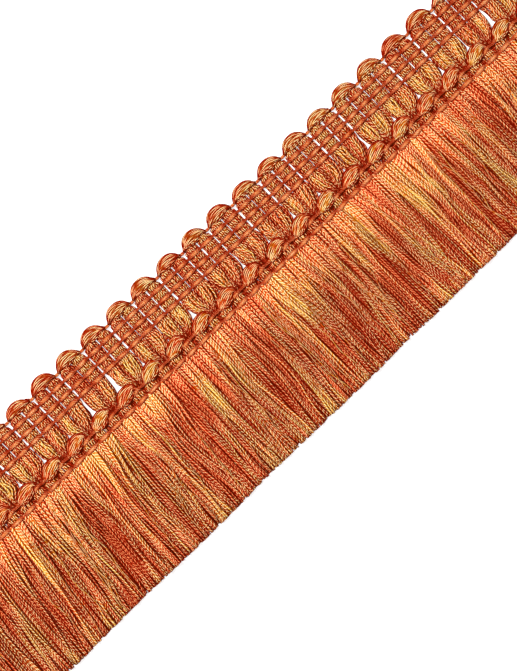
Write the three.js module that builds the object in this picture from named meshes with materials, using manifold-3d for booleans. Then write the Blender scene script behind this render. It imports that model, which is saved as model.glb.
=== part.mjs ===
// A cut length of brush fringe, lying face up: a woven gimp heading with a scalloped edge, and a cut skirt of yarn.
// Millimetres. +X runs along the trim, +Y points from the skirt to the scalloped edge, +Z points up from the face.
// The origin is on the back, halfway along, on the strip that lies behind the points of the weft's hairpins.
import * as THREE from "three";
import { mergeVertices } from "three/addons/utils/BufferGeometryUtils.js";
import Module from "manifold-3d";

const wasm = await Module();
wasm.setup();

// Driving dimensions
const REPEAT = 11.2; // from one scallop to the next
const REPEATS = 26;
const LENGTH = REPEAT * REPEATS;
const BAR_PITCH = REPEAT / 2; // two weft bars stand under each scallop
const SCALLOP_TOP = 23.9; // height of the scalloped edge above the origin
const SKIRT_TIP = -50.5; // the cut ends of the skirt, below the origin
const CLEAR = 0.32; // air between pieces that touch on the real trim
const FLAT = 1e-6; // anything less above a bundle's back lies in it
const BAR_WIDTH = 4.6;
const BAR_CROWN = 2.7; // height of a weft bar above the table
const FOOT_CROWN = 3.1; // height of the bars that the skirt's yarn makes

// The chain that the scallops lie over, which shows only in the valleys between them.
const EDGE_CHAIN = { y: 20.65, width: 0.9, low: 0.1, high: 1.3, shoulder: 4.1 };
// The chains of warp thread over the bars, from the scallops to the skirt: crown is the height of the bars there.
const CHAINS = [
  { name: "chain_2", y: 17.55, crown: BAR_CROWN, width: 1.15 },
  { name: "chain_3", y: 13.9, crown: BAR_CROWN, width: 1.15 },
  { name: "chain_4_fan_edge", y: 10.35, crown: BAR_CROWN, width: 1.15 },
  { name: "chain_5_foot", y: -2.1, crown: FOOT_CROWN, width: 0.85 },
  { name: "chain_6_skirt_edge", y: -4.7, crown: FOOT_CROWN, width: 1.05 },
];
const CHAIN_DEPTH = 0.8;

// One leg of a weft hairpin, from its point among the foot bars up to the middle of its scallop.
// x and y are the middle of the bundle, width is its full width, floor and crown its lowest and highest points.
const HAIRPIN_LEG = [
  { x: 1.15, y: -0.3, width: 2.0, floor: 0, crown: 1.6 },
  { x: 1.7, y: 1.7, width: 3.1, floor: 0, crown: 2.2 },
  { x: 2.55, y: 5.3, width: 4.6, floor: 0, crown: 2.9 },
  { x: 2.62, y: 18.6, width: BAR_WIDTH, floor: 0, crown: BAR_CROWN },
  { x: 2.6, y: 19.8, width: 4.8, floor: 1.3, crown: 3.1 },
  { x: 2.1, y: 21.3, width: 4.6, floor: 1.3, crown: 3.5 },
  { x: 0, y: SCALLOP_TOP - 2.15, width: 4.3, floor: 1.3, crown: 3.9 },
];

// One loop of the skirt's yarn: up one foot bar, over in a leaf that leans to the left, and down the next bar.
const FOOT_LOOP = [
  { x: -2.8, y: -6.1, width: 4.9, floor: 0, crown: FOOT_CROWN },
  { x: -2.8, y: -1.9, width: 4.9, floor: 0, crown: FOOT_CROWN },
  { x: -2.5, y: -0.1, width: 3.2, floor: 2.0, crown: 3.9 },
  { x: -0.5, y: 1.4, width: 3.9, floor: 2.0, crown: 4.6 },
  { x: 1.7, y: 1.8, width: 3.3, floor: 2.0, crown: 4.5 },
  { x: 2.9, y: 0.1, width: 2.5, floor: 2.0, crown: 3.9 },
  { x: 2.8, y: -1.9, width: 4.9, floor: 0, crown: FOOT_CROWN },
  { x: 2.8, y: -6.1, width: 4.9, floor: 0, crown: FOOT_CROWN },
];

// The strip behind the hairpins' points, and the strip that the skirt's yarns are caught in.
const POINT_STRIP = { low: -0.55, high: 0.5, floor: 0, top: 0.9 };
const SKIRT_STRIP = { low: -6.9, high: -5.7, floor: 0.3, top: 3.3 };

// The skirt: three locks over each foot bar, and a broad one under them that rests on the table.
const UPPER_LOCKS = 3;
const LOWER_LOCKS = 1;
const UPPER_LOCK = [
  { y: -6.3, width: 1.5, floor: 1.55, crown: 2.7 },
  { y: -11.3, width: 1.6, floor: 1.6, crown: 4.2 },
  { y: SKIRT_TIP, width: 1.5, floor: 1.6, crown: 3.1 },
];
const LOWER_LOCK = [
  { y: -6.3, width: 5.0, floor: 0, crown: 1.3 },
  { y: SKIRT_TIP, width: 5.0, floor: 0, crown: 1.3 },
];

// How far the skirt's tips hang to the right of their roots, at places along the trim.
const LEAN = [
  { x: -LENGTH / 2, tips: -5.2 },
  { x: -85, tips: -4.8 },
  { x: -38, tips: -0.6 },
  { x: 15, tips: 1.2 },
  { x: 60, tips: 1.9 },
  { x: 100, tips: -0.2 },
  { x: LENGTH / 2, tips: -1.2 },
];
const TIP_UNEVEN = 0.35;
// The scalloped edge sags a little in the right half of the length.
const EDGE_BOW = { depth: 0.6, centre: 55, reach: 75 };

const gimpYarn = new THREE.MeshStandardMaterial({ color: 0xcf7a3e, roughness: 0.7, metalness: 0 });
const chainThread = new THREE.MeshStandardMaterial({ color: 0xc2532f, roughness: 0.8, metalness: 0 });
const skirtYarn = new THREE.MeshStandardMaterial({ color: 0xc8693a, roughness: 0.65, metalness: 0 });

// A three.js geometry as a manifold-3d solid.
function solidOf(geometry) {
  const bare = geometry.clone();
  bare.deleteAttribute("normal");
  bare.deleteAttribute("uv");
  const merged = mergeVertices(bare, 1e-4);
  return new wasm.Manifold(
    new wasm.Mesh({
      numProp: 3,
      vertProperties: merged.attributes.position.array,
      triVerts: new Uint32Array(merged.index.array),
    }),
  );
}

function geometryOf(solid) {
  const { vertProperties, triVerts } = solid.getMesh();
  const geometry = new THREE.BufferGeometry();
  geometry.setAttribute("position", new THREE.BufferAttribute(vertProperties, 3));
  geometry.setIndex(new THREE.BufferAttribute(triVerts, 1));
  geometry.computeVertexNormals();
  return geometry;
}

const joined = (solids) => solids.reduce((whole, next) => whole.add(next));

// A bundle of yarn with a flat back and a crown, run through its stations. The bundle is a cylinder of few sides,
// whose rings are moved to the stations, each turned square to the way that the yarn runs there.
function bundle(stations, sides) {
  const last = stations.length - 1;
  const half = Math.sin((2 * Math.PI * Math.round(sides / 4)) / sides);
  const base = Math.cos((2 * Math.PI * ((sides - 1) / 2)) / sides);
  const geometry = new THREE.CylinderGeometry(1, 1, last, sides, last);
  const points = geometry.attributes.position;
  for (let i = 0; i < points.count; i++) {
    const ring = Math.round(points.getY(i) + last / 2);
    const here = stations[ring];
    const before = stations[Math.max(ring - 1, 0)];
    const after = stations[Math.min(ring + 1, last)];
    const way = new THREE.Vector2(after.x - before.x, after.y - before.y).normalize();
    const aside = (points.getX(i) / half) * (here.width / 2);
    const up = points.getZ(i) - base < FLAT ? 0 : (points.getZ(i) - base) / (1 - base);
    points.setXYZ(
      i,
      here.x + way.y * aside,
      here.y - way.x * aside,
      here.floor + up * (here.crown - here.floor),
    );
  }
  return geometry;
}

// A straight strip along the whole trim.
function strip({ low, high, floor, top }) {
  const box = new THREE.BoxGeometry(LENGTH - 1, high - low, top - floor);
  return box.translate(0, (low + high) / 2, (floor + top) / 2);
}

const shifted = (stations, x, lift = () => 0) =>
  stations.map((s) => ({ ...s, x: s.x + x, y: s.y + lift(s, x) }));

const edgeBow = (x) => -EDGE_BOW.depth * Math.exp(-(((x - EDGE_BOW.centre) / EDGE_BOW.reach) ** 2));

// The heading's weft: a hairpin for each scallop, all held by a strip behind their points.
function gimpWeft() {
  const left = HAIRPIN_LEG.map((s) => ({ ...s, x: -s.x }));
  const hairpin = [...left, ...HAIRPIN_LEG.slice(0, -1).reverse()];
  const bowed = (s, x) => (s.y > CHAINS[0].y ? edgeBow(x) : 0);
  const hairpins = Array.from({ length: REPEATS }, (_, i) => {
    const x = (i - (REPEATS - 1) / 2) * REPEAT;
    return solidOf(bundle(shifted(hairpin, x, bowed), 5));
  });
  return joined([solidOf(strip(POINT_STRIP)), ...hairpins]);
}

// A chain of warp thread, which rises over each bar and sinks between two.
function chain({ y, crown, width }) {
  const stations = [];
  for (let bar = 0; bar <= 2 * REPEATS; bar++) {
    const x = (bar - REPEATS) * BAR_PITCH;
    const gap = 0.618 * crown + CLEAR * 1.6;
    stations.push({ x, y, width: width * 0.7, floor: gap, crown: gap + CHAIN_DEPTH * 0.8 });
    const floor = crown + CLEAR;
    stations.push({ x: x + BAR_PITCH / 2, y, width, floor, crown: floor + CHAIN_DEPTH });
  }
  stations.pop();
  return bundle(stations, 3);
}

// The edge chain, low under each scallop and up in the valleys.
function edgeChain({ y, width, low, high, shoulder }) {
  const stations = [];
  for (let i = 0; i < REPEATS; i++) {
    const x = (i - REPEATS / 2) * REPEAT;
    const scallop = x + REPEAT / 2;
    const rows = [
      { x, floor: high },
      { x: scallop - shoulder, floor: low },
      { x: scallop + shoulder, floor: low },
    ];
    stations.push(...rows.map((s) => ({ ...s, y: y + edgeBow(scallop), width, crown: s.floor + CHAIN_DEPTH })));
  }
  return bundle(stations, 3);
}

// Where a lock of the skirt has got to at height y, when it starts at x.
function leaning(x, y) {
  const next = LEAN.findIndex((place) => place.x > x);
  const [left, right] = [LEAN[next - 1], LEAN[next]];
  const tips = THREE.MathUtils.lerp(left.tips, right.tips, THREE.MathUtils.smoothstep(x, left.x, right.x));
  const down = THREE.MathUtils.clamp((SKIRT_STRIP.low - y) / (SKIRT_STRIP.low - SKIRT_TIP), 0, 1);
  return x + tips * down;
}

function lock(stations, x, number) {
  const uneven = TIP_UNEVEN * Math.sin(number * 2.4);
  return bundle(
    stations.map((s) => ({
      ...s,
      x: leaning(x, s.y),
      y: s.y === SKIRT_TIP ? s.y + Math.abs(uneven) : s.y,
    })),
    3,
  );
}

// A row of locks, evenly spread, as many over each foot bar as asked.
function lockRow(stations, perBar) {
  const count = 2 * REPEATS * perBar;
  const pitch = LENGTH / count;
  return Array.from({ length: count }, (_, i) =>
    solidOf(lock(stations, (i + 0.5 - count / 2) * pitch, i)),
  );
}

// The skirt: loops and foot bars of its own yarn, the strip that holds the yarn, and the hanging locks.
function skirt() {
  const loops = Array.from({ length: REPEATS - 1 }, (_, i) =>
    solidOf(bundle(shifted(FOOT_LOOP, (i + 1 - REPEATS / 2) * REPEAT), 5)),
  );
  const endBars = [-1, 1].map((side) => {
    const rows = side < 0 ? FOOT_LOOP.slice(-2) : FOOT_LOOP.slice(0, 2);
    return solidOf(bundle(shifted(rows, (side * LENGTH) / 2), 5));
  });
  return joined([
    solidOf(strip(SKIRT_STRIP)),
    ...loops,
    ...endBars,
    ...lockRow(UPPER_LOCK, UPPER_LOCKS),
    ...lockRow(LOWER_LOCK, LOWER_LOCKS),
  ]);
}

function part(name, geometry, material) {
  const mesh = new THREE.Mesh(geometry, material);
  mesh.name = name;
  return mesh;
}

const fringe = new THREE.Group();
fringe.add(part("gimp_weft", geometryOf(gimpWeft()), gimpYarn));
fringe.add(part("chain_1_scallop_edge", edgeChain(EDGE_CHAIN), chainThread));
for (const row of CHAINS) fringe.add(part(row.name, chain(row), chainThread));
fringe.add(part("skirt", geometryOf(skirt()), skirtYarn));

export default fringe;
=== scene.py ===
# %% [markdown]
# # A brush fringe, thread by thread
#
# The trim lies flat with its face up. A woven heading of plied yarn, the gimp, has scallops along one edge,
# and a dense skirt of cut yarn hangs from the other. The CAD frame holds each bundle of yarn as one plain
# solid. This lesson dresses those solids with the yarns themselves: each bundle becomes its own strands, in
# the same place and of the same size. The trim's sizes are in millimetres, and become metres when a mesh is
# made.

# %% Load the frame
import math

import bpy
import numpy as np
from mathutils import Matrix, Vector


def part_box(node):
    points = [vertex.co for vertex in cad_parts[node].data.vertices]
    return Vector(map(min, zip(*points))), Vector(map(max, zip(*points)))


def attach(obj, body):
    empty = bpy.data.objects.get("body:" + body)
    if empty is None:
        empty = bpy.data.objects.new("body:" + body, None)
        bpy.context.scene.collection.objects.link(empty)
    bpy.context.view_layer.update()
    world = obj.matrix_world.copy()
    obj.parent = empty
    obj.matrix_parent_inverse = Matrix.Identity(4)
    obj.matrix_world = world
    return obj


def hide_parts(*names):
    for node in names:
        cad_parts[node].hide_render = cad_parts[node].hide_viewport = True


MM = 0.001
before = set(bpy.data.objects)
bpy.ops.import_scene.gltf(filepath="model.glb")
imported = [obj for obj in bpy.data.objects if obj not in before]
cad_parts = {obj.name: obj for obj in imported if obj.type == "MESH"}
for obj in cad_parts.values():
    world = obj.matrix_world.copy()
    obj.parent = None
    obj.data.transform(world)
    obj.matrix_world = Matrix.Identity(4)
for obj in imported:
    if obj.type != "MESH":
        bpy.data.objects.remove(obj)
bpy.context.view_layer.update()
print("nodes:", sorted(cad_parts))


# %% [markdown]
# ## The driving sizes
#
# Everything repeats with the scallops, so the pitch is read from the frame: a chain runs the whole length,
# and 26 repeats fill it. The rows of chain thread give the heights across the trim. From here on, x runs
# along the trim, y across it from the skirt to the scallops, and z up from the table.

# %% Read the pitch and the chain rows from the frame
REPEATS = 26


def span(node):
    """The lowest and highest corner of a CAD node, in millimetres."""
    low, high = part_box(node)
    return np.array(low) / MM, np.array(high) / MM


chain_low, chain_high = span("chain_2")
LENGTH = chain_high[0] - chain_low[0]
REPEAT = LENGTH / REPEATS
BAR_PITCH = REPEAT / 2
CHAIN_ROWS = ["chain_2", "chain_3", "chain_4_fan_edge", "chain_5_foot", "chain_6_skirt_edge"]
row_y = {name: float(sum(corner[1] for corner in span(name)) / 2) for name in CHAIN_ROWS}
SCALLOP_TOP = span("gimp_weft")[1][1]
SKIRT_TIP = span("skirt")[0][1]
YARN = 0.73  # thickness of the plied yarn
print(f"length {LENGTH:.1f} mm, pitch {REPEAT:.2f} mm, rows {row_y}")


# %% [markdown]
# ## Camera and light first
#
# The photo looks straight down on the trim, which runs from lower left to upper right. The camera is turned
# about the vertical by that angle. A long lens keeps the view as flat as the photo is. The main light
# stands high above the scalloped side, a little to the left: it lights the tops of the yarns and leaves
# shade between them. A weak light across from it and a pale room fill in.

# %% Aim the camera
TRIM_ANGLE = 44.3  # degrees that the trim climbs in the photo
VIEW_CENTRE = (-0.77, -15.6)  # the point of the trim in the middle of the photo
VIEW_HEIGHT = 215.1  # millimetres of the surface from the top of the photo to the bottom
LENS = 100
SENSOR = 36
TRIM_FACE = 3  # the height of the trim's face, from which the camera's distance is measured

camera_data = bpy.data.cameras.new("camera")
camera_data.lens = LENS
camera_data.sensor_width = SENSOR
camera = bpy.data.objects.new("camera", camera_data)
distance = VIEW_HEIGHT * LENS / SENSOR
camera.location = (VIEW_CENTRE[0] * MM, VIEW_CENTRE[1] * MM, (distance + TRIM_FACE) * MM)
camera.rotation_euler = (0, 0, -math.radians(TRIM_ANGLE))
bpy.context.scene.collection.objects.link(camera)
bpy.context.scene.camera = camera
bpy.context.scene.view_settings.view_transform = "Standard"
print(f"camera {distance:.0f} mm above the face")

# %% Light the table
LIGHTS = [  # name, place and size in metres, power in watts, colour
    ("key", (-0.22, 0.46, 1.05), 0.3, 27.2, (1, 0.975, 0.92)),
    ("fill", (0.7, -0.6, 0.9), 0.9, 1, (1, 1, 1)),
]
ROOM_LIGHT = 0.2


def area_light(name, place, size, power, colour):
    """A square light at place, turned towards the middle of the trim."""
    data = bpy.data.lights.new(name, "AREA")
    data.size = size
    data.energy = power
    data.color = colour
    light = bpy.data.objects.new(name, data)
    light.location = place
    towards = -light.location
    light.rotation_euler = towards.to_track_quat("-Z", "Y").to_euler()
    bpy.context.scene.collection.objects.link(light)


for row in LIGHTS:
    area_light(*row)
room = bpy.data.worlds.new("pale room")
room.use_nodes = True
room.node_tree.nodes["Background"].inputs["Color"].default_value = (1, 1, 1, 1)
room.node_tree.nodes["Background"].inputs["Strength"].default_value = ROOM_LIGHT
bpy.context.scene.world = room
print("key, fill and room light")


# %% [markdown]
# ## A little kit for node materials
#
# Each material is a small net of nodes. These helpers place a node, set its values and join it to others,
# so that each finish below reads as a list of what it does.

# %% Helpers for node materials
def material(name):
    """A new node material, with its tree and its Principled shader."""
    made = bpy.data.materials.new(name)
    made.use_nodes = True
    return made, made.node_tree, made.node_tree.nodes["Principled BSDF"]


def node(tree, kind, inputs=(), **settings):
    """A node of a kind. inputs are values, or sockets to join, in the order of its sockets."""
    made = tree.nodes.new(kind)
    for key, value in settings.items():
        setattr(made, key, value)
    for index, value in enumerate(inputs):
        if isinstance(value, bpy.types.NodeSocket):
            tree.links.new(value, made.inputs[index])
        else:
            made.inputs[index].default_value = value
    return made


def maths(tree, operation, *values):
    """The result socket of one sum."""
    return node(tree, "ShaderNodeMath", values, operation=operation).outputs[0]


def held(tree, value, low, high):
    """A value that is kept between two limits."""
    return node(tree, "ShaderNodeClamp", [value, low, high]).outputs[0]


def noise(tree, place, scale, detail):
    """Soft random values, with this many cells to a metre."""
    made = node(tree, "ShaderNodeTexNoise", [place])
    made.inputs["Scale"].default_value = scale
    made.inputs["Detail"].default_value = detail
    return made.outputs[0]


print("node, maths, held and noise are ready")


# %% Helpers for colours
def ramp(tree, factor, stops):
    """Colours by place along a ramp: stops are (place, (r, g, b))."""
    made = node(tree, "ShaderNodeValToRGB", [factor])
    made.color_ramp.interpolation = "EASE"
    while len(made.color_ramp.elements) < len(stops):
        made.color_ramp.elements.new(0.5)
    for element, (place, colour) in zip(made.color_ramp.elements, stops):
        element.position = place
        element.color = (*colour, 1)
    return made.outputs[0]


def blend(tree, factor, first, second):
    """The colour between two colours or sockets, by factor."""
    mixed = node(tree, "ShaderNodeMix", data_type="RGBA")
    tree.links.new(factor, mixed.inputs[0])
    for index, value in ((6, first), (7, second)):
        if isinstance(value, bpy.types.NodeSocket):
            tree.links.new(value, mixed.inputs[index])
        else:
            mixed.inputs[index].default_value = (*value, 1)
    return mixed.outputs[2]


print("ramp and blend are ready")


# %% [markdown]
# ## The table
#
# The photo was taken on a lit white table, which shows white even through the narrow slots of the weave and
# leaves hardly a shadow. So the floor is plain white paper that glows as well.

# %% Lay the floor
FLOOR_SIZE = 2.4  # metres
PAPER_GRAIN = 900  # noise cells a metre
PAPER_TINTS = [(0.3, (0.44, 0.44, 0.44)), (0.7, (0.48, 0.48, 0.48))]
PAPER_GLOW = 0.82

bpy.ops.mesh.primitive_plane_add(size=FLOOR_SIZE)
floor = bpy.context.object
floor.name = "floor"
paper, paper_tree, paper_shader = material("white paper")
grain = noise(paper_tree, node(paper_tree, "ShaderNodeTexCoord").outputs["Object"], PAPER_GRAIN, 2)
paper_tree.links.new(ramp(paper_tree, grain, PAPER_TINTS), paper_shader.inputs["Base Color"])
paper_shader.inputs["Roughness"].default_value = 0.9
paper_shader.inputs["Emission Color"].default_value = (1, 1, 1, 1)
paper_shader.inputs["Emission Strength"].default_value = PAPER_GLOW
floor.data.materials.append(paper)
print("floor laid at the trim's back")


# %% [markdown]
# ## The finish of the yarn
#
# The yarn is two plies of rayon twisted together, dyed in lengths of ochre, orange and rust. Each ply could
# be a tube of its own, wound round the other, but then thousands of strands would need millions of faces.
# So a strand is one tube here, and its plies are painted on it.
#
# The tube's UV map gives how far round the strand a point lies, and how often the plies have turned up to
# there. From above, a ply crosses the strand from one side to the other in half a turn, then dips under its
# twin. So a point is near the crest of the upper ply where its place across the strand is that of the ply's
# middle line, and it lies in a groove where it is far from both plies. Half of the strands are twisted the
# other way, which gives the skirt its chevrons.

# %% Paint two plies on a strand
PLIES = 2
PLY_SWING = 0.5  # how far a ply's middle line strays from the strand's, as a share of its radius
UNDER = 0.55  # how high the lower ply stands, as a share of the upper one's height
CREST_SHARPNESS = 3.2  # how narrow the bright crest of a ply is
CREST_SHORTNESS = 1.8  # and how short


def two_plies(tree):
    """How high the plies stand at a point, and how near it is to the crest of the upper one, from 0 to 1."""
    strand = node(tree, "ShaderNodeUVMap", uv_map="strand").outputs[0]
    turn, turns, _ = node(tree, "ShaderNodeSeparateXYZ", [strand]).outputs
    across = maths(tree, "COSINE", maths(tree, "MULTIPLY", turn, 2 * math.pi))
    passed = maths(tree, "FRACT", maths(tree, "MULTIPLY", turns, PLIES))
    swing = maths(tree, "MULTIPLY", maths(tree, "SUBTRACT", passed, 0.5), math.pi)
    centre = maths(tree, "MULTIPLY", maths(tree, "SINE", swing), PLY_SWING)
    rise = maths(tree, "COSINE", swing)

    def ply(away):
        """1 on the middle line of a ply, and 0 half a radius away from it."""
        share = maths(tree, "MULTIPLY", maths(tree, "POWER", maths(tree, "ABSOLUTE", away), 2.0), 4.0)
        return held(tree, maths(tree, "SUBTRACT", 1.0, share), 0.0, 1.0)

    above = ply(maths(tree, "SUBTRACT", across, centre))
    below = ply(maths(tree, "ADD", across, centre))
    lift = maths(tree, "ADD", UNDER, maths(tree, "MULTIPLY", rise, 1 - UNDER))
    upper = maths(tree, "MULTIPLY", above, lift)
    lower = maths(tree, "MULTIPLY", below, UNDER)
    bulge = maths(tree, "MAXIMUM", upper, lower)
    narrow = maths(tree, "POWER", above, CREST_SHARPNESS)
    crown = maths(tree, "MULTIPLY", narrow, maths(tree, "POWER", rise, CREST_SHORTNESS))
    return bulge, crown


print("two plies, in half a turn each")


# %% [markdown]
# The dye of each point is an attribute that the mesh brings, with painted light and shade worked into it
# by place, and so is its light and gloss: high where the yarn lies open to the light, low in the depth of
# the weave. Light and gloss do two things. They paint a pale highlight on the crests of the plies and make
# them glossy, and they keep the painted shade in the grooves between them from going dark. The painted
# highlight and the gloss also come and go along a strand, as rayon's do where its fibres turn. The chain
# thread is made the same way, but it is finer and has one dye.

# %% Yarn and thread finishes
DYES = [  # from rust to ochre
    (0.0, (0.34, 0.012, 0.001)),
    (0.2, (0.52, 0.036, 0.002)),
    (0.42, (0.68, 0.10, 0.004)),
    (0.62, (0.72, 0.20, 0.008)),
    (0.82, (0.74, 0.31, 0.02)),
    (1.0, (0.76, 0.42, 0.05)),
]
THREAD_DYES_AND_SHADE = [  # burnt orange; painted shade where drawn in, painted highlight where swollen
    (0.0, (0.20, 0.009, 0.0012)),
    (0.35, (0.42, 0.045, 0.006)),
    (0.7, (0.82, 0.255, 0.065)),
    (1.0, (0.94, 0.60, 0.34)),
]
CREST_PAINTED_HIGHLIGHTS = [  # the painted highlight on the crests in full light, over the same dyes
    (0.0, (0.94, 0.28, 0.105)),
    (0.35, (1.0, 0.61, 0.30)),
    (0.65, (1.0, 0.76, 0.375)),
    (1.0, (1.0, 0.81, 0.36)),
]
# the painted shade in the grooves between the plies
GROOVE_PAINTED_SHADE = (0.155, 0.0028, 0.0002)
PAINTED_DEPTH_GLOW = (0.055, 0.0045, 0.0006)  # painted glow: the little light left in the depth of a bundle
GLOSS_TINT = (1, 0.6, 0.3)
FIBRES = 2600  # noise cells a metre, for the fibres
PATCHES = 420  # and for the patches of painted highlight and gloss
FIBRE_SPECKS = 0.4  # how much the fibres change the dye, and the relief
MOST_HIGHLIGHT_AND_GLOSS = 1.3  # painted highlight and gloss of the brightest patch; the dullest has none


def twisted_finish(name, dyes_and_shade, roughness, groove, crest, relief):
    """A finish for plied strands. groove is how dark the painted shade between the plies is, crest how light
    the painted highlight on top of them is, and relief how far they bulge, in millimetres."""
    made, tree, shader = material(name)
    bulge, crown = two_plies(tree)
    dye_and_shade = node(tree, "ShaderNodeAttribute", attribute_name="dye_and_shade").outputs["Fac"]
    light_and_gloss = node(tree, "ShaderNodeAttribute", attribute_name="light_and_gloss").outputs["Fac"]
    place = node(tree, "ShaderNodeTexCoord").outputs["Object"]
    fibre = noise(tree, place, FIBRES, 3)
    patch = noise(tree, place, PATCHES, 1)

    # The dye has the specks of the fibres in it, and a painted highlight turns it pale on the crests where
    # there is painted light and gloss.
    speck = maths(tree, "MULTIPLY", maths(tree, "SUBTRACT", fibre, 0.5), FIBRE_SPECKS)
    shade = maths(tree, "ADD", dye_and_shade, speck)
    patchy = maths(tree, "SUBTRACT", maths(tree, "MULTIPLY", patch, 2.8), 0.55)
    highlight_and_gloss = maths(tree, "MULTIPLY", held(tree, patchy, 0.0, MOST_HIGHLIGHT_AND_GLOSS), light_and_gloss)
    top = maths(tree, "MULTIPLY", crown, highlight_and_gloss)
    lit = held(tree, maths(tree, "MULTIPLY", top, crest), 0.0, 0.95)
    light = blend(tree, lit, ramp(tree, shade, dyes_and_shade), ramp(tree, shade, CREST_PAINTED_HIGHLIGHTS))

    # Painted shade darkens the grooves, the more the further they are shut in.
    shut_in = maths(tree, "SUBTRACT", 1.9, maths(tree, "MULTIPLY", light_and_gloss, 0.85))
    darkness = maths(tree, "MULTIPLY", shut_in, groove)
    sunk = maths(tree, "POWER", maths(tree, "SUBTRACT", 1.0, bulge), 0.9)
    depth = held(tree, maths(tree, "MULTIPLY", sunk, darkness), 0.0, 1.0)
    tree.links.new(blend(tree, depth, light, GROOVE_PAINTED_SHADE), shader.inputs["Base Color"])
    tree.links.new(maths(tree, "MULTIPLY", top, 0.5), shader.inputs["Specular IOR Level"])

    # The relief is that of the plies, with the fibres on them.
    bump = node(tree, "ShaderNodeBump")
    bump.inputs["Strength"].default_value = 1.0
    bump.inputs["Distance"].default_value = relief * MM
    fibrous = maths(tree, "MULTIPLY", fibre, FIBRE_SPECKS)
    tree.links.new(maths(tree, "ADD", bulge, fibrous), bump.inputs["Height"])
    tree.links.new(bump.outputs[0], shader.inputs["Normal"])
    shader.inputs["Roughness"].default_value = roughness
    shader.inputs["Specular Tint"].default_value = (*GLOSS_TINT, 1)
    # A faint painted glow, for the light that still comes out of the depth of a bundle.
    shader.inputs["Emission Color"].default_value = (*PAINTED_DEPTH_GLOW, 1)
    shader.inputs["Emission Strength"].default_value = 1.0
    return made


yarn_finish = twisted_finish("plied rayon yarn", DYES, 0.34, 1.12, 5.2, 0.15)
thread_finish = twisted_finish("chain thread", THREAD_DYES_AND_SHADE, 0.36, 0.8, 0.8, 0.05)
print("two finishes:", yarn_finish.name, "and", thread_finish.name)


# %% [markdown]
# ## From a run to a mesh
#
# A strand is a tube along a run of points. There are thousands, so they aren't made one by one with curve
# objects or operators: the functions below take all the runs of a piece as one array and write one joined
# mesh. First come the rings of points, square to each run at each station, and the faces between them.

# %% The points and faces of many tubes
def rings(runs, radius, sides):
    """The points of all tubes, strands x stations x sides x 3."""
    ahead = np.gradient(runs, axis=1)
    ahead /= np.linalg.norm(ahead, axis=2, keepdims=True)
    side = np.cross(ahead, [0.0, 0.0, 1.0])
    side /= np.maximum(np.linalg.norm(side, axis=2, keepdims=True), 1e-9)
    over = np.cross(side, ahead)
    turn = (np.arange(sides) * 2 * np.pi / sides)[:, None]
    ring = side[:, :, None] * np.cos(turn) + over[:, :, None] * np.sin(turn)
    return runs[:, :, None] + ring * radius[:, :, None, None]


def skin(first):
    """The walls, of four corners each, and the caps at both ends. first numbers the points of all tubes."""
    after = np.roll(first, -1, axis=2)
    walls = np.stack([first[:, :-1], first[:, 1:], after[:, 1:], after[:, :-1]], axis=-1).reshape(-1, 4)
    caps = np.concatenate([first[:, 0], first[:, -1, ::-1]])
    return walls, caps


print("rings and skin are ready")


# %% [markdown]
# Then comes the UV map that the finish reads. u goes once around a strand. v counts how often its plies
# have turned since its start, so it grows with the length, or falls in a strand of the other twist. Each
# strand starts at a turn of its own, or else all would show their plies side by side.

# %% The UV map of many tubes
def turns_so_far(runs, twist):
    """How often the plies of each strand have turned at each of its stations."""
    strands, stations = runs.shape[:2]
    step = np.linalg.norm(np.diff(runs, axis=1), axis=2)
    twist = np.broadcast_to(twist, (strands, stations))
    between = (twist[:, 1:] + twist[:, :-1]) / 2
    start = np.random.default_rng(strands).uniform(0, 1, (strands, 1))
    return np.concatenate([start, start + np.cumsum(step * between, axis=1)], axis=1)


def strand_map(turned, sides, caps):
    """The u and v of each corner, first of all walls and then of all caps."""
    shape = (*turned.shape, sides)
    u = np.broadcast_to(np.arange(sides) / sides, shape)
    v = np.broadcast_to(turned[:, :, None], shape)
    wall_u = np.stack([u[:, :-1], u[:, 1:], u[:, 1:] + 1 / sides, u[:, :-1] + 1 / sides], axis=-1)
    wall_v = np.stack([v[:, :-1], v[:, 1:], v[:, 1:], v[:, :-1]], axis=-1)
    cap_uv = np.stack([u.ravel()[caps], v.ravel()[caps]], axis=-1)
    return np.concatenate([np.stack([wall_u, wall_v], axis=-1).reshape(-1, 2), cap_uv.reshape(-1, 2)])


print("the map is ready")


# %% Many tubes as one piece
ABOVE_TABLE = 1.001  # radii from the table to the middle of a strand that lies on it
total = {"triangles": 0}


def joined_mesh(name, points, walls, caps, uv):
    """One smooth mesh of all walls and caps, with its UV map."""
    corners = np.concatenate([walls.ravel(), caps.ravel()])
    cap_starts = walls.size + np.arange(len(caps)) * caps.shape[1]
    starts = np.concatenate([np.arange(len(walls)) * 4, cap_starts])
    mesh = bpy.data.meshes.new(name)
    mesh.vertices.add(points.size // 3)
    mesh.vertices.foreach_set("co", (points * MM).ravel())
    mesh.loops.add(len(corners))
    mesh.loops.foreach_set("vertex_index", corners)
    mesh.polygons.add(len(starts))
    mesh.polygons.foreach_set("loop_start", starts)
    mesh.polygons.foreach_set("use_smooth", np.ones(len(starts), bool))
    mesh.uv_layers.new(name="strand").data.foreach_set("uv", uv.ravel())
    return mesh


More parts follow.
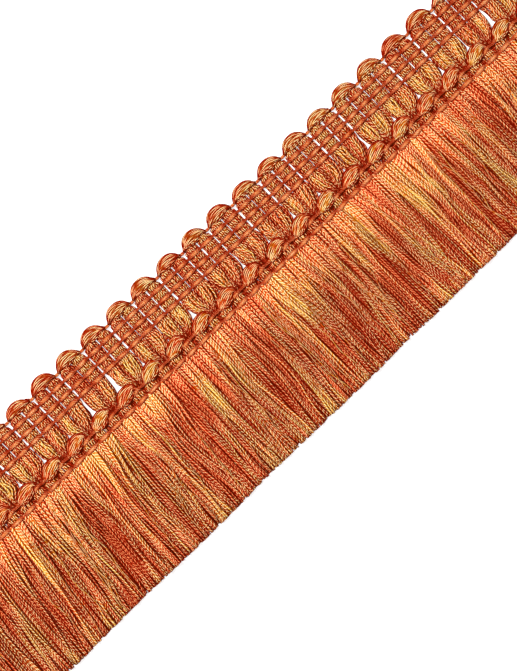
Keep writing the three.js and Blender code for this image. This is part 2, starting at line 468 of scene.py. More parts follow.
def tubes(name, runs, radius, sides, dye_and_shade, twist, light_and_gloss, finish, slot, *nodes):
    """One piece of many closed tubes, which stands for the CAD nodes. runs is strands x stations x 3, and
    the radius, the dye with its painted light and shade, and the painted light and gloss are strands x
    stations, or one value. twist is how often the plies turn in a millimetre, below zero for the other
    hand."""
    strands, stations = runs.shape[:2]
    radius = np.broadcast_to(radius, (strands, stations))
    runs[..., 2] = np.maximum(runs[..., 2], ABOVE_TABLE * radius)
    first = np.arange(strands * stations * sides).reshape(strands, stations, sides)
    walls, caps = skin(first)
    uv = strand_map(turns_so_far(runs, twist), sides, caps)
    mesh = joined_mesh(name, rings(runs, radius, sides), walls, caps, uv)
    for key, value in (("dye_and_shade", dye_and_shade), ("light_and_gloss", light_and_gloss)):
        each = np.broadcast_to(np.broadcast_to(value, (strands, stations))[:, :, None], first.shape)
        mesh.attributes.new(key, "FLOAT", "POINT").data.foreach_set("value", each.ravel())
    mesh.update(calc_edges=True)
    mesh.validate()
    mesh.materials.append(finish)
    piece = bpy.data.objects.new(name, mesh)
    bpy.context.scene.collection.objects.link(piece)
    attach(piece, "root")
    if nodes:
        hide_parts(*nodes)
    triangles = len(walls) * 2 + len(caps) * (sides - 2)
    total["triangles"] += triangles
    print(f"{name}: {strands} strands, {triangles} triangles")


# %% [markdown]
# ## Smooth runs and slow drifts
#
# A bundle's way is a short table of stations. `flow` runs a smooth curve through it. `ease` and `falling`
# are soft steps that tell one place from another, such as a fan from the bars above it. `drift` gives each
# strand its own slow, soft wandering, for its dye and for the unevenness of its way.

# %% Helpers for runs
SAMPLES = 20  # points that the curve has between two stations, before it is spread evenly


def flow(stations, count):
    """A smooth curve through rows of x, y and other columns, as count rows spread evenly along it."""
    rows = np.array(stations, float)
    rows = np.vstack([2 * rows[0] - rows[1], rows, 2 * rows[-1] - rows[-2]])
    pieces = len(stations) - 1
    t = np.linspace(0, pieces, pieces * SAMPLES + 1)
    i = np.minimum(t.astype(int), pieces - 1)
    f = (t - i)[:, None]
    a, b, c, d = rows[i], rows[i + 1], rows[i + 2], rows[i + 3]
    curve = 0.5 * (2 * b + (c - a) * f + (2 * a - 5 * b + 4 * c - d) * f**2 + (3 * b - a - 3 * c + d) * f**3)
    run = np.concatenate([[0], np.cumsum(np.linalg.norm(np.diff(curve[:, :2], axis=0), axis=1))])
    even = np.linspace(0, run[-1], count)
    return np.stack([np.interp(even, run, column) for column in curve.T], axis=1)


def soften(f):
    """A share from 0 to 1 that starts and ends slowly."""
    return f * f * (3 - 2 * f)


def ease(t, start, end):
    """0 up to start, 1 from end on, and smooth between."""
    return soften(np.clip((t - start) / (end - start), 0, 1))


def falling(t, start, end):
    """1 up to start, 0 from end on, and smooth between."""
    return ease(-t, -end, -start)


def drift(rng, strands, stations, knots):
    """Soft random values, about -1 to 1: a row for each strand, with this many knots along it."""
    values = rng.uniform(-1, 1, (strands, knots + 1))
    t = np.linspace(0, knots, stations)
    i = np.minimum(t.astype(int), knots - 1)
    f = soften(t - i)
    return values[:, i] * (1 - f) + values[:, i + 1] * f


TURN_LENGTHS = (2.4, 3.2)  # millimetres in which a strand's plies turn once


def twists(rng, strands):
    """The twist of each strand, in turns a millimetre: either hand, and some tighter than others."""
    return (rng.choice([-1.0, 1.0], strands) / rng.uniform(*TURN_LENGTHS, strands))[:, None]


print("flow, ease, falling, drift and twists are ready")

# %% A bundle of strands along one way
PILLOW = 0.42  # how far a bundle's crown falls towards its sides, as a share of its height


def bundle(stations, section, count, radius):
    """Runs of the strands of one bundle. stations are rows of x, y, width, floor and crown. section is where
    each strand stands: across, from -1 to 1, and up, from 0 on the floor to 1 under the crown."""
    x, y, width, low, crown = flow(stations, count).T
    way = np.stack([np.gradient(x), np.gradient(y)])
    way /= np.linalg.norm(way, axis=0)
    runs = []
    for across, up in section:
        # Each strand keeps its place between the sides, and between the floor and the crown.
        aside = across * (width / 2 - radius)
        roof = crown - (crown - low) * PILLOW * across**2
        height = low + radius + up * (roof - low - 2 * radius)
        runs.append(np.stack([x + way[1] * aside, y - way[0] * aside, height], axis=1))
    return np.stack(runs)


def rim_of(section):
    """1 for the strands at the sides of a bundle, and about 0 for those in its middle."""
    return np.abs([across for across, up in section])[:, None] ** 3


print("bundles are ready")


# %% [markdown]
# ## The gimp weft
#
# The weft runs up one bar, over in a scallop and down the next bar, and both legs close to a point among
# the foot bars. Eight strands lie on the face and seven behind them. At the scallop all of them are drawn
# together at its two corners and swell between, which is why a scallop looks like half a lens. Under each
# chain the bundle is pulled in, and between the chains it swells.

# %% The way of one leg
PINCH = {"floor": 0.4, "crown": 1.95, "width": 5.22}
SHOULDER = {"floor": 0.2, "crown": 2.2, "width": 5.22}
SWELL = {"floor": 0.0, "crown": 3.1, "width": 5.26}
SHOULDER_AWAY = 0.75  # from a chain to the shoulders beside it
BAR_X = 2.76  # from the middle of a hairpin to that of its bar
FAN_SWELLS = [0.0, 0.5, 0.55, 0.6, 0.6, 0.65]  # some fans swell until they touch the next one


def bar_station(x, y, state):
    """A station of a bar at x and y, drawn in or swollen."""
    return (x, y, state["width"], state["floor"], state["crown"])


def under_chain(x, y):
    """Three stations where a chain crosses a bar and draws it in."""
    rows = ((-SHOULDER_AWAY, SHOULDER), (0, PINCH), (SHOULDER_AWAY, SHOULDER))
    return [bar_station(x, y + away, state) for away, state in rows]


def hairpin_leg(rng):
    """The right leg, from its point up to the corner of the scallop, with its own swell and its bar a little
    aside. The rows are x, y, width, floor and crown."""
    bulge = rng.choice(FAN_SWELLS) + rng.uniform(-0.05, 0.05)
    aside = BAR_X + rng.uniform(-0.1, 0.1)
    chain_4, chain_3, chain_2 = (row_y[name] for name in ("chain_4_fan_edge", "chain_3", "chain_2"))
    return [
        (0.8, -3.6, 1.8, 0.0, 1.1),
        (0.8, -1.0, 1.9, 0.0, 1.5),
        (0.92, 0.4, 2.1, 0.0, 2.0),
        (1.68, 2.2, 3.9, 0.0, 2.7),
        (2.28 + bulge / 2, 4.2, 4.9 + bulge, 0.0, 3.3),
        (2.45 + bulge / 2, 6.6, 5.3 + bulge, 0.0, 3.5),
        (2.55 + bulge / 3, chain_4 - 1.5, 5.4 + bulge / 2, 0.0, 3.0),
        *under_chain(aside, chain_4),
        bar_station(aside, (chain_4 + chain_3) / 2, SWELL),
        *under_chain(aside, chain_3),
        bar_station(aside, (chain_3 + chain_2) / 2, SWELL),
        *under_chain(aside, chain_2),
        (aside, chain_2 + 1.7, 5.2, 0.0, 2.9),
        (2.85, 20.2, 4.7, 0.0, 2.5),
        (3.4, 21.0, 3.2, 0.1, 2.0),
        (4.25, 21.1, 1.8, 0.3, 2.1),
        (4.65, 20.9, 1.3, 0.6, 2.4),
    ]


print(f"a leg has {len(hairpin_leg(np.random.default_rng(0)))} stations")

# %% The scallop, and a whole hairpin
SCALLOP_FOOT = 20.0
SCALLOP_CORNER = 20.7
SCALLOP_HALF = 4.8
DOME_ROUNDNESS = 2.3  # 2 would be a parabola, and more is fuller at the shoulders
SCALLOP_RISE = 0.55  # how far a dome stands past the plain solid's, before chance
DOME = [(-4.3, 2.7), (-3.3, 3.3), (-1.7, 3.7), (0, 3.9), (1.7, 3.7), (3.3, 3.3), (4.3, 2.7)]  # x, crown
DOME_FLOOR = 1.2
EDGE_BOW = {"depth": 0.6, "centre": 55, "reach": 75}


def edge_bow(x):
    """The scalloped edge sags a little in the right half of the length."""
    return -EDGE_BOW["depth"] * math.exp(-(((x - EDGE_BOW["centre"]) / EDGE_BOW["reach"]) ** 2))


def scallop_station(x, top_y, crown):
    """A station of the dome at x. Its outline curves up to top_y, and its foot hangs a little between the
    corners."""
    share = abs(x / SCALLOP_HALF) ** DOME_ROUNDNESS
    top = SCALLOP_CORNER + (top_y - SCALLOP_CORNER) * (1 - share)
    foot = SCALLOP_FOOT + (SCALLOP_CORNER - SCALLOP_FOOT) * share
    return (x, (top + foot) / 2, top - foot + 0.25, DOME_FLOOR, crown)


def hairpin(rng, x):
    """The stations of one whole hairpin at x, a little uneven, as each one is."""
    right = hairpin_leg(rng)
    left = [(-row[0], *row[1:]) for row in hairpin_leg(rng)]
    top_y = SCALLOP_TOP + SCALLOP_RISE + rng.uniform(-0.35, 0.25)
    skew = rng.uniform(-0.2, 0.2)
    dome = [scallop_station(place, top_y, crown) for place, crown in DOME]
    dome = [(row[0] + skew, *row[1:]) for row in dome]
    rows = left + dome + right[::-1]
    over_chains = row_y["chain_2"] + 0.5
    bow = edge_bow(x)
    return [(row[0] + x, row[1] + (bow if row[1] > over_chains else 0), *row[2:]) for row in rows]


print(f"a hairpin has {len(hairpin(np.random.default_rng(0), 0))} stations")


# %% [markdown]
# The strands of a hairpin don't run side by side like wires. In the fans they stray and swing from side to
# side together, so that no gap opens between them. The dye changes along each strand. Light and shade are
# painted into the colour by place: painted shade in the point, at the scallop's corners, beside the chains
# and along the rims, and painted light where a fan bulges. On the scallop the plies turn slowly, because
# the yarn is drawn straight there.

# %% Weave the gimp weft
HAIRPIN_SEED = 11  # the face and the back share it, so that they follow the same hairpins
FAN_OPENS = (0.5, 3.0)  # y from which a fan begins to open, and at which it is open
FAN_CLOSES = (7.5, 9.5)
POINT_ENDS = (-0.4, 4.8)  # y from which the point's shade fades, and at which it is gone
DOME_STARTS = (20.0, 21.2)
CORNER_STARTS = (19.8, 20.8)
CORNER_ASIDE = (2.4, 4.8)  # how far from the hairpin's middle a corner begins, and is whole
CHAIN_SHADE = (0.7, 1.3)  # how far from a chain its shade begins to fade, and is gone
SHADE_BY_PLACE = {"point": 0.38, "corner": 0.4, "tucked": 0.25}  # painted shade there, taken off the dye
LESS_LIT = {"dome": 0.15, "point": 0.8, "corner": 0.6, "tucked": 0.6}  # painted light and gloss lost there
STRAIGHT = 0.78  # the share of its twist that the yarn loses on the scallop


def weave(name, seed, first, last, section, stations, radius, sides, wander, *nodes):
    """The strands of the hairpins from first up to last, for a section, as one piece. wander is how far the
    strands stray in the fans."""
    rng = np.random.default_rng(seed)
    shape = np.random.default_rng(HAIRPIN_SEED)
    middles = [(i - (REPEATS - 1) / 2) * REPEAT for i in range(REPEATS)]
    shapes = [hairpin(shape, middle) for middle in middles]
    bound = np.array([row_y[row] for row in CHAIN_ROWS[:3]])
    rim = rim_of(section)
    inside = np.array([1 - across**2 for across, up in section])[:, None]
    count = len(section)
    runs = []
    dyes_and_shade = []
    turns = []
    lights_and_gloss = []
    for i in range(first, last):
        strands = bundle(shapes[i], section, stations, radius)
        y = strands[..., 1]

        # The way of each strand, which strays most in the fans. The second line swings them together.
        in_fan = ease(y, *FAN_OPENS) * falling(y, *FAN_CLOSES)
        strands[..., 0] += (0.15 + wander * in_fan) * drift(rng, count, stations, 22)
        strands[..., 0] += 2.4 * wander * in_fan * inside * drift(shape, 1, stations, 14)
        strands[..., 1] += 0.08 * drift(rng, count, stations, 24)
        strands[..., 2] += (0.18 + 0.14 * in_fan) * drift(rng, count, stations, 22)
        runs.append(strands)

        # The places on it that differ in painted light and shade, dye or twist, each from 0 to 1.
        at_point = falling(y, *POINT_ENDS)
        at_dome = ease(y, *DOME_STARTS)
        aside = np.abs(strands[..., 0] - middles[i])
        at_corner = ease(y, *CORNER_STARTS) * ease(aside, *CORNER_ASIDE)
        tucked = np.max(falling(np.abs(y[..., None] - bound), *CHAIN_SHADE), axis=-1)

        # Dye: of the whole bundle, of each strand, and streaks on the dome; then painted light in the fans,
        # and painted shade in the point, at the corners, beside the chains and along the rims.
        common = 0.3 * drift(rng, 1, stations, 5)
        own = 0.38 * drift(rng, count, stations, 7)
        streak = 0.25 * at_dome * drift(rng, count, stations, 30)
        dye_and_shade = 0.53 + 0.08 * in_fan + common + own + streak
        dye_and_shade = dye_and_shade - SHADE_BY_PLACE["point"] * at_point - SHADE_BY_PLACE["corner"] * at_corner - SHADE_BY_PLACE["tucked"] * tucked
        dyes_and_shade.append(dye_and_shade - (0.2 + 0.1 * in_fan) * rim)

        # Painted light and gloss: most in the open fans, least in the painted shade and at the rims.
        light_and_gloss = 0.92 + 0.58 * in_fan - LESS_LIT["dome"] * at_dome
        light_and_gloss = light_and_gloss - LESS_LIT["point"] * at_point - LESS_LIT["corner"] * at_corner
        lights_and_gloss.append(light_and_gloss * (1 - LESS_LIT["tucked"] * tucked) * (1 - (0.5 + 0.2 * in_fan) * rim))
        turns.append(twists(rng, count) * (1 - STRAIGHT * at_dome))
    runs, dyes_and_shade, turns, lights_and_gloss = (np.concatenate(rows) for rows in (runs, dyes_and_shade, turns, lights_and_gloss))
    tubes(name, runs, radius, sides, dyes_and_shade, turns, lights_and_gloss, yarn_finish, "gimp_yarn", *nodes)


# The strands' places across the bundle and up in it.
FACE_SECTION = [(across, 1.0) for across in np.linspace(-1, 1, 8)]
BACK_SECTION = [(across, 0.5) for across in np.linspace(-0.96, 0.96, 7)]
FACE_RADIUS = 0.37
BACK_RADIUS = 0.47  # fewer strands fill the back, so they are thicker
HALF_WAY = REPEATS // 2
weave("gimp_face_yarns_left", 21, 0, HALF_WAY, FACE_SECTION, 96, FACE_RADIUS, 6, 0.3, "gimp_weft")
weave("gimp_face_yarns_right", 23, HALF_WAY, REPEATS, FACE_SECTION, 96, FACE_RADIUS, 6, 0.3)
weave("gimp_back_yarns", 22, 0, REPEATS, BACK_SECTION, 44, BACK_RADIUS, 4, 0.0)


# %% [markdown]
# ## The chains
#
# A chain is a row of stitches of fine thread. Each stitch swells over its bar and is drawn tight in the gap
# beside it. Five threads lie side by side in a stitch, or four in the row that crosses the foot, and two
# more run behind the bars. Light and shade are painted into their colour: it is palest in the middle of a
# stitch, where the thread stands up to the light, and darker where it is drawn in and on the outer threads.

# %% Work the chains
THREAD_RADIUS = 0.21
STITCH_STEPS = 8  # points along one stitch
OVER_BAR = 2.7  # the height of a stitch on its bar
IN_GAP = 1.3  # and in the gap beside it
DRAWN_SPREAD = 0.26  # how far the outer threads lie from the middle where a stitch is drawn tight


def chain_runs(rng, y, over, between, swell, tilt=0.0, slope=(0.0, 0.0), threads=5, draw=0.65):
    """The threads of a chain, and their painted light and shade. over is their height on a bar, between in a
    gap, and swell how far they spread on a bar. tilt raises the right end of each stitch, slope shifts the
    stitches on the left and right bars of a pair, and the less the draw, the fuller they are."""
    bars = 2 * REPEATS
    count = bars * STITCH_STEPS + 1
    phase = np.arange(count) / STITCH_STEPS
    x = -LENGTH / 2 + phase * BAR_PITCH
    part = phase % 1.0
    hump = np.sin(np.pi * part) ** draw
    bar = np.minimum(phase.astype(int), bars - 1)
    uneven = rng.uniform(-1, 1, bars + 1)
    tip = tilt + 0.5 * rng.uniform(-1, 1, bars + 1)[bar]
    rise = tip * (part - 0.5) * hump + np.where(bar % 2 == 0, *slope) * hump
    runs = []
    dyes_and_shade = []
    for lane in np.linspace(-1, 1, threads):
        # Painted light and shade: palest where a stitch swells, darker where it is drawn in and outside.
        dyes_and_shade.append(-0.15 + 0.96 * hump**2.5 * (1 - 0.5 * lane**2))
        width = (DRAWN_SPREAD + swell * hump) * lane
        wave = 0.12 * uneven[bar] * hump
        z = between + (over - between) * hump**0.6 - 0.16 * lane**2 * hump
        runs.append(np.stack([x, y + rise + width + wave, z], axis=1))
    return np.stack(runs), np.stack(dyes_and_shade)


def work_chain(name, seed, y, over, between, swell, **shape):
    """The chain that stands for the CAD node of this name: its stitches, and two threads behind the bars."""
    rng = np.random.default_rng(seed)
    face, face_shading = chain_runs(rng, y, over, between, swell, **shape)
    back, back_shading = chain_runs(rng, y, THREAD_RADIUS + 0.35, 1.0, swell, threads=2)
    runs = np.concatenate([face, back])
    # The painted light and shade of the stitches, with the thread's own dye changing along it.
    dye_and_shade = np.concatenate([face_shading, back_shading]) + 0.16 * drift(rng, len(runs), runs.shape[1], 80)
    tubes(name + "_threads", runs, THREAD_RADIUS, 4, dye_and_shade, 0.6, 1.0, thread_finish, "chain_thread", name)


for number, name in enumerate(CHAIN_ROWS[:3]):
    work_chain(name, 31 + number, row_y[name], OVER_BAR, IN_GAP, 0.3)
foot_y = row_y["chain_5_foot"] + 1.1
work_chain("chain_5_foot", 35, foot_y, 3.15, 1.8, 0.2, tilt=1.2, slope=(-0.35, 0.35), threads=4)
edge_y = row_y["chain_6_skirt_edge"] + 0.2
work_chain("chain_6_skirt_edge", 36, edge_y, 3.25, 2.2, 0.28, tilt=0.35, draw=0.45)


# %% [markdown]
# The last chain runs under the scallops, and shows only where it comes up in the valleys between them. It
# follows the sag of the scalloped edge.

# %% Lay the edge chain
EDGE_CHAIN = "chain_1_scallop_edge"
EDGE_STEPS = 16  # points along one repeat
VALLEY_SHARE = 0.45  # how much of a half repeat the rise into a valley takes
VALLEY_RISE = 1.5


def edge_chain():
    """Three threads that rise into every valley, and cross in waves."""
    rng = np.random.default_rng(30)
    count = REPEATS * EDGE_STEPS + 1
    phase = np.arange(count) / EDGE_STEPS
    x = (phase - REPEATS / 2) * REPEAT
    valley = np.abs(((phase + 0.5) % 1.0) - 0.5) * 2
    up = soften(np.clip(1 - valley / VALLEY_SHARE, 0, 1))
    low, high = span(EDGE_CHAIN)
    bow = np.array([edge_bow(place) for place in x])
    y = low[1] + (high[1] - low[1]) / 2 + 0.3 + bow
    z = THREAD_RADIUS + 0.1 + up * VALLEY_RISE
    spread = 0.22 + 0.12 * np.cos(phase * 8 * np.pi)
    runs = np.stack([np.stack([x, y + lane * spread, z], axis=1) for lane in (-1, 0, 1)])
    dye_and_shade = 0.5 + 0.2 * drift(rng, 3, count, 60)
    radius = 1.2 * THREAD_RADIUS
    tubes("chain_1_threads", runs, radius, 5, dye_and_shade, 0.5, 0.6, thread_finish, "chain_thread", EDGE_CHAIN)


edge_chain()


# %% [markdown]
# ## The foot bars and the leaf loops
#
# The skirt's yarn is woven in too. It climbs a foot bar, is drawn together at its top, swells in a leaf
# that rises to the right across the fan's gap, and goes down the next foot bar. It is the same lens as a
# scallop, only tilted.

# %% The way of one leaf loop
FOOT_BAR = [  # y, width, floor, crown, going up from the skirt
    (-4.55, 5.7, 0.3, 2.55),
    (-3.7, 5.75, 0.1, 3.1),
    (-2.9, 5.8, 0.1, 3.3),
    (-2.1, 5.8, 0.1, 3.1),
]


def leaf_stations(rng, x):
    """One loop about the gap at x, from the skirt up the left bar, over in the leaf and down the right bar.
    The rows are x, y, width, floor and crown."""
    tip = row_y["chain_6_skirt_edge"] - 1.4
    middle = BAR_PITCH / 2
    bar = [(tip, 5.6, 0.3, 2.5), *FOOT_BAR]
    foot = [(-middle, *row) for row in bar]
    left_corner = [(-3.2, -1.1, 4.2, 0.5, 3.0), (-3.85, -1.35, 2.0, 1.4, 3.2)]
    lift = rng.uniform(-0.25, 0.25)
    lean = rng.uniform(-0.2, 0.2)
    leaf = [
        (-3.2, -1.1, 2.8, 2.3, 4.0),
        (-1.9, -0.45 + lift / 2, 4.3, 2.5, 4.5),
        (0.1 + lean, 0.45 + lift, 5.0, 2.5, 4.75),
        (2.0, 0.9 + lift, 4.3, 2.3, 4.4),
        (3.25, 0.75, 2.7, 1.8, 3.8),
    ]
    right_corner = [(3.8, -0.1, 2.0, 1.4, 3.2), (3.2, -1.1, 4.2, 0.5, 3.0)]
    down = [(middle, *row) for row in bar[::-1]]
    rows = foot + left_corner + leaf + right_corner + down
    return [(row[0] + x, *row[1:]) for row in rows]


print(f"a leaf loop has {len(leaf_stations(np.random.default_rng(0), 0))} stations")


# %% [markdown]
# The foot bars get painted shade, for they lie in the shade of the leaves above them, and the gaps between
# them get more still. At each end of the length only half of a loop is left, so the two end loops are cut
# at their middle and make a piece of their own.

# %% Lay the leaf loops
LOOP_SEED = 12  # shared by the face and the back


def lay_loops(name, seed, section, stations, radius, sides):
    """All loops for a section, as one piece, and the two half loops at the ends as another."""
    rng = np.random.default_rng(seed)
    shape = np.random.default_rng(LOOP_SEED)
    rim = rim_of(section)
    count = len(section)
    runs = []
    dyes_and_shade = []
    lights_and_gloss = []
    turns = []
    for i in range(REPEATS + 1):
        x = (i - REPEATS / 2) * REPEAT
        strands = bundle(leaf_stations(shape, x), section, stations, radius)
        strands[..., 0] += 0.2 * drift(rng, count, stations, 12)
        strands[..., 2] += 0.14 * drift(rng, count, stations, 12)
        if i == 0:
            strands = strands[:, stations // 2:]
        if i == REPEATS:
            strands = strands[:, :(stations + 1) // 2]
        runs.append(strands)

        # Where the bars get painted shade, and where the leaf stands up from it.
        kept = strands.shape[1]
        local = strands[..., 0] - x
        y, z = strands[..., 1], strands[..., 2]
        under_leaf = ease(y, -2.1, -1.3) * falling(z, 2.8, 3.7)
        far_side = ease(np.abs(local), 4.4, 5.6) * 0.6
        from_bar = np.abs(np.abs(local) - BAR_PITCH / 2)
        in_gap = ease(from_bar, 1.6, 2.6) * falling(y, -2.4, -1.6)
        in_shade = np.maximum(np.maximum(under_leaf, far_side), in_gap)
        in_leaf = ease(z, 2.6, 3.4) * ease(y, -1.6, -0.8)
        common = 0.28 * drift(rng, 1, stations, 3)[:, :kept]
        own = 0.32 * drift(rng, count, stations, 4)[:, :kept]
        # The dye, with painted shade in the shade and along the rims, and painted light on the leaf.
        dyes_and_shade.append(0.52 + common + own - 0.5 * in_shade - 0.15 * rim)
        lights_and_gloss.append((1.15 + 0.1 * in_leaf - 1.0 * in_shade) * (1 - 0.4 * rim))
        turns.append(twists(rng, count) * (1 - 0.7 * in_leaf))
    for part, chosen in (("", slice(1, -1)), ("_ends", slice(None, None, REPEATS))):
        strands, dye_and_shade, light_and_gloss, twist = (np.concatenate(rows[chosen]) for rows in (runs, dyes_and_shade, lights_and_gloss, turns))
        tubes(name + part, strands, radius, sides, dye_and_shade, twist, light_and_gloss, yarn_finish, "skirt_yarn")


LEAF_SECTION = [(across, 1.0) for across in np.linspace(-1, 1, 8)]
LEAF_BACK_SECTION = [(across, 0.25) for across in np.linspace(-1.1, 1.1, 7)]
lay_loops("foot_face_yarns", 41, LEAF_SECTION, 52, FACE_RADIUS, 5)
lay_loops("foot_back_yarns", 42, LEAF_BACK_SECTION, 34, BACK_RADIUS, 4)


# %% [markdown]
# ## The skirt
#
# More than sixteen hundred cut strands hang in four layers. Left even they would look like a comb, so they
# follow what real ones do: they come out of their foot bar as one bunch, gather in locks a few millimetres
# wide with dark valleys between, wander a little, and part again at the cut. The locks sway and lean too,
# so some ride up on their neighbours. The whole skirt leans to the left at the left end.

# %% The skirt's lean, its crown and its locks
LEAN = [  # place along the trim, and how far the tips stand to the right of their roots
    (-LENGTH / 2, -5.2),
    (-85, -4.8),
    (-38, -0.6),
    (15, 1.2),
    (60, 1.9),
    (100, -0.2),
    (LENGTH / 2, -1.2),
]
CROWN = [  # share of the way from root to tip, and the height there
    (0.0, 2.5),
    (0.03, 2.9),
    (0.13, 4.3),
    (0.28, 4.1),
    (0.55, 3.3),
    (0.8, 2.9),
    (1.0, 2.8),
]
TOP = 4.65  # nothing of the skirt stands higher
ROOT_Y = row_y["chain_6_skirt_edge"] + 0.4
ROOT_DYE = 0.34
LEAN_BEND = 0.85  # below 1, the strands lean most near the root
LOCKS = [  # how far locks sway and lean, how deep their valleys are, how far their dyes differ, their widths
    (0.7, 1.8, 0.42, 0.36, (1.0, 2.8)),
    (1.1, 2.2, 0.28, 0.32, (3.4, 9.0)),
]
MOST_LOCKS = 400  # more than the length holds


def smooth_table(table, x):
    """Values between the rows of a table, eased from each row to the next."""
    places = np.array([row[0] for row in table])
    values = np.array([row[1] for row in table])
    i = np.clip(np.searchsorted(places, x) - 1, 0, len(table) - 2)
    f = soften(np.clip((x - places[i]) / (places[i + 1] - places[i]), 0, 1))
    return values[i] * (1 - f) + values[i + 1] * f


def locks(rng, root, widths):
    """The lock that each strand falls in: its number, its half width and how far across it the strand is."""
    edges = [-LENGTH / 2 - 0.5]
    while edges[-1] < LENGTH / 2 + 0.5:
        edges.append(edges[-1] + rng.uniform(*widths))
    edges = np.array(edges)
    number = np.clip(np.searchsorted(edges, root) - 1, 0, len(edges) - 2)
    half = (edges[number + 1] - edges[number]) / 2
    across = np.clip((root - edges[number]) / half - 1, -1, 1)
    return number, half, across


print(f"the skirt hangs {ROOT_Y - SKIRT_TIP:.1f} mm and leans up to {-LEAN[0][1]} mm")


# %% [markdown]
# One function hangs a layer. It starts with straight strands from root to tip, t going from 0 to 1 along
# them. Then each size of lock gathers, sways and leans its strands, heaps some locks over others, and dyes
# each lock its own way. Last, every strand strays a little by itself, and a few stray far and cross their
# neighbours. The layers share one random source for the locks, so that a lock goes through every layer that
# gathers.

# %% Hang the strands
SKIRT_SEED = 52  # of the cut edge and the locks, shared by all layers
CUT_WAVES = 24  # how many times the cut edge may change between long and short
MOST_LOOSE = 3.2  # how far the loosest strand strays, in millimetres


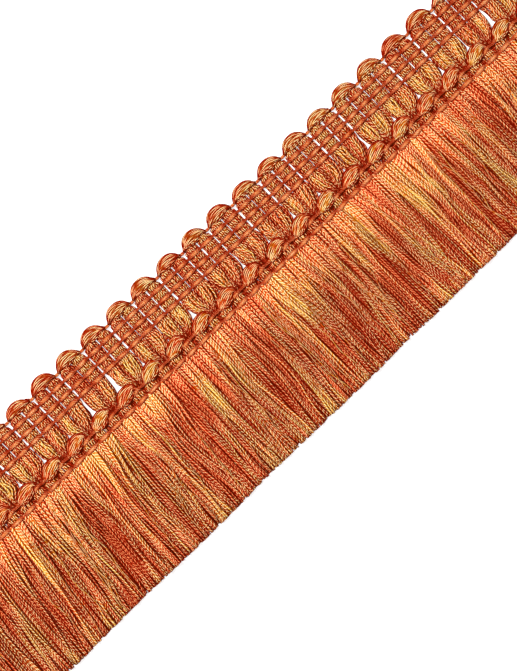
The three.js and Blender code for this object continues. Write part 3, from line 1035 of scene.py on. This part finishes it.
def hang(name, seed, per_bar, stations, sides, thickness, level, gather, wander, shade, *nodes):
    """One layer of the skirt. level is its height, from 0 on the table to 1 at the crown, gather is how far
    its strands draw together in locks, wander how far each goes its own way, and shade its middle dye, set
    lower for the layers under the face as painted shade."""
    rng = np.random.default_rng(seed)
    shared = np.random.default_rng(SKIRT_SEED)
    count = 2 * REPEATS * per_bar
    t = np.linspace(0, 1, stations)[None, :]

    # Straight strands, from roots in a row to the ragged cut.
    jitter = wander * rng.uniform(-0.25, 0.25, count)
    root = (np.arange(count) + 0.5 - count / 2) * LENGTH / count + jitter
    knots = np.linspace(-LENGTH / 2, LENGTH / 2, CUT_WAVES)
    cut_wave = 0.5 + 0.5 * np.interp(root, knots, shared.uniform(-1, 1, CUT_WAVES))
    tip_y = SKIRT_TIP + 0.1 + 0.5 * cut_wave + 1.1 * rng.uniform(0, 1, count) ** 1.6
    y = ROOT_Y + (tip_y[:, None] - ROOT_Y) * t
    x = root[:, None] + smooth_table(LEAN, root)[:, None] * t**LEAN_BEND

    # Dye and painted light along a strand. At the root, where it arches out of the foot bars and is lit, all
    # layers share one dye; below it each layer takes its own, with painted shade in the deeper ones. The
    # painted light is most near the root and fades further down.
    hanging = ease(t, 0.0, 0.4)
    dye_and_shade = ROOT_DYE + (shade - 0.02 - ROOT_DYE) * hanging
    light_and_gloss = 1.5 + 0.14 * ease(t, 0.0, 0.15) - 0.5 * ease(t, 0.16, 0.6)

    # The locks, fine ones and then broad ones.
    valley = 0.0
    heap = 0.0
    for sway, lean, deep, tint, widths in LOCKS:
        number, half, across = locks(shared, root, widths)
        tight = shared.uniform(0.1, 0.5, MOST_LOCKS)[number] * gather
        start = shared.uniform(0.0, 0.35, MOST_LOCKS)[number][:, None]
        way = sway * gather * drift(shared, MOST_LOCKS, stations, 2)[number]
        gathered = ease(t, start, start + 0.5) * (1 - 0.4 * ease(t, 0.82, 1.0))
        x += -(across * half * tight)[:, None] * gathered + way * hanging
        x += lean * gather * shared.uniform(-1, 1, MOST_LOCKS)[number][:, None] * t
        valley = valley + deep * gathered * (across**2)[:, None]
        heap = heap + 0.45 * shared.uniform(-1, 1, MOST_LOCKS)[number][:, None] * gathered
        dye_and_shade = dye_and_shade + tint * (0.6 + 0.4 * hanging) * drift(shared, MOST_LOCKS, stations, 3)[number]
        # Painted shade: less light and gloss at the edges of a lock, down in its valley.
        light_and_gloss = light_and_gloss * (1 - 0.7 * gathered * (across**4)[:, None])
        light_and_gloss = light_and_gloss + 0.22 * drift(shared, MOST_LOCKS, stations, 2)[number]

    # What each strand does by itself. A few are loose, and stray far.
    x += wander * 0.6 * drift(rng, count, stations, 3) * np.minimum(t * 4, 1)
    x += wander * 0.2 * drift(rng, count, stations, 9) * np.minimum(t * 6, 1)
    x += wander * 0.05 * drift(rng, count, stations, 22)
    x += wander * 0.5 * rng.uniform(-1, 1, count)[:, None] * ease(t, 0.8, 1.1)
    loose = MOST_LOOSE * rng.uniform(-1, 1, count)[:, None] ** 5
    x += wander * loose * t

    # Heights: the crown, lower in the valleys between locks.
    radius = YARN / 2
    low_by = valley * gather
    z = radius + level * (smooth_table(CROWN, t) * (1 - low_by) + gather * heap - 2 * radius)
    uneven = 0.2 * drift(rng, count, stations, 7)
    uneven = uneven + rng.uniform(-0.35, 0.3, count)[:, None] * np.minimum(t * 6, 1)
    uneven = uneven + np.minimum(np.abs(loose), 1) * 0.3 * ease(t, 0.05, 0.3)
    z = np.minimum(z + level * uneven, TOP - radius)
    runs = np.stack([x, y, z], axis=2)

    # Every strand has a dye, a thickness, and a painted light and gloss of its own.
    dye_and_shade = dye_and_shade + (0.1 + 0.22 * hanging) * drift(rng, count, stations, 3)
    size = rng.uniform(*thickness, count)[:, None]
    thick = radius * size * (1 + 0.06 * drift(rng, count, stations, 12)) * (1.3 - 0.3 * ease(t, 0.05, 0.3))
    light_and_gloss = light_and_gloss * (1 + (0.35 + 0.65 * hanging) * rng.uniform(-0.6, 0.4, count)[:, None])
    twist = twists(rng, count)
    tubes(name, runs, thick, sides, dye_and_shade, twist, light_and_gloss, yarn_finish, "skirt_yarn", *nodes)


hang("skirt_face_yarns", 61, 8, 36, 6, (0.78, 1.14), 1.0, 1.0, 1.0, 0.5, "skirt")
hang("skirt_upper_yarns", 62, 8, 24, 5, (0.95, 1.2), 0.74, 0.8, 0.8, 0.36)
hang("skirt_lower_yarns", 63, 8, 12, 4, (1.2, 1.3), 0.42, 0.0, 0.3, 0.2)
hang("skirt_back_yarns", 64, 8, 12, 4, (1.2, 1.3), 0.0, 0.0, 0.0, 0.3)


# %% [markdown]
# Here and there a ply has come loose from its strand and lies across the others. It is half as thick, and
# has more painted light, because nothing shades it.

# %% Lay single plies across the skirt
PLY_RADIUS = 0.2


def lay_strays(count, stations):
    """Thin single plies that have come loose and lie on top of their neighbours."""
    rng = np.random.default_rng(71)
    root = rng.uniform(-LENGTH / 2 + 2, LENGTH / 2 - 2, count)
    start = rng.uniform(0.0, 0.25, count)[:, None]
    end = rng.uniform(0.85, 1.0, count)[:, None]
    t = start + (end - start) * np.linspace(0, 1, stations)[None, :]
    x = root[:, None] + smooth_table(LEAN, root)[:, None] * t**LEAN_BEND
    x += rng.uniform(-4, 4, count)[:, None] * (t - start) + 1.0 * drift(rng, count, stations, 5)
    y = ROOT_Y + (SKIRT_TIP + 0.5 - ROOT_Y) * t
    z = smooth_table(CROWN, t) + 0.05 + 0.2 * drift(rng, count, stations, 6)
    runs = np.stack([x, y, np.minimum(z, TOP - PLY_RADIUS)], axis=2)
    dye_and_shade = 0.6 + 0.25 * drift(rng, count, stations, 3)
    twist = 0.3 * twists(rng, count)
    tubes("skirt_stray_plies", runs, PLY_RADIUS, 5, dye_and_shade, twist, 1.5, yarn_finish, "skirt_yarn")


lay_strays(50, 32)
print(f"all yarns and threads: {total['triangles']} triangles")
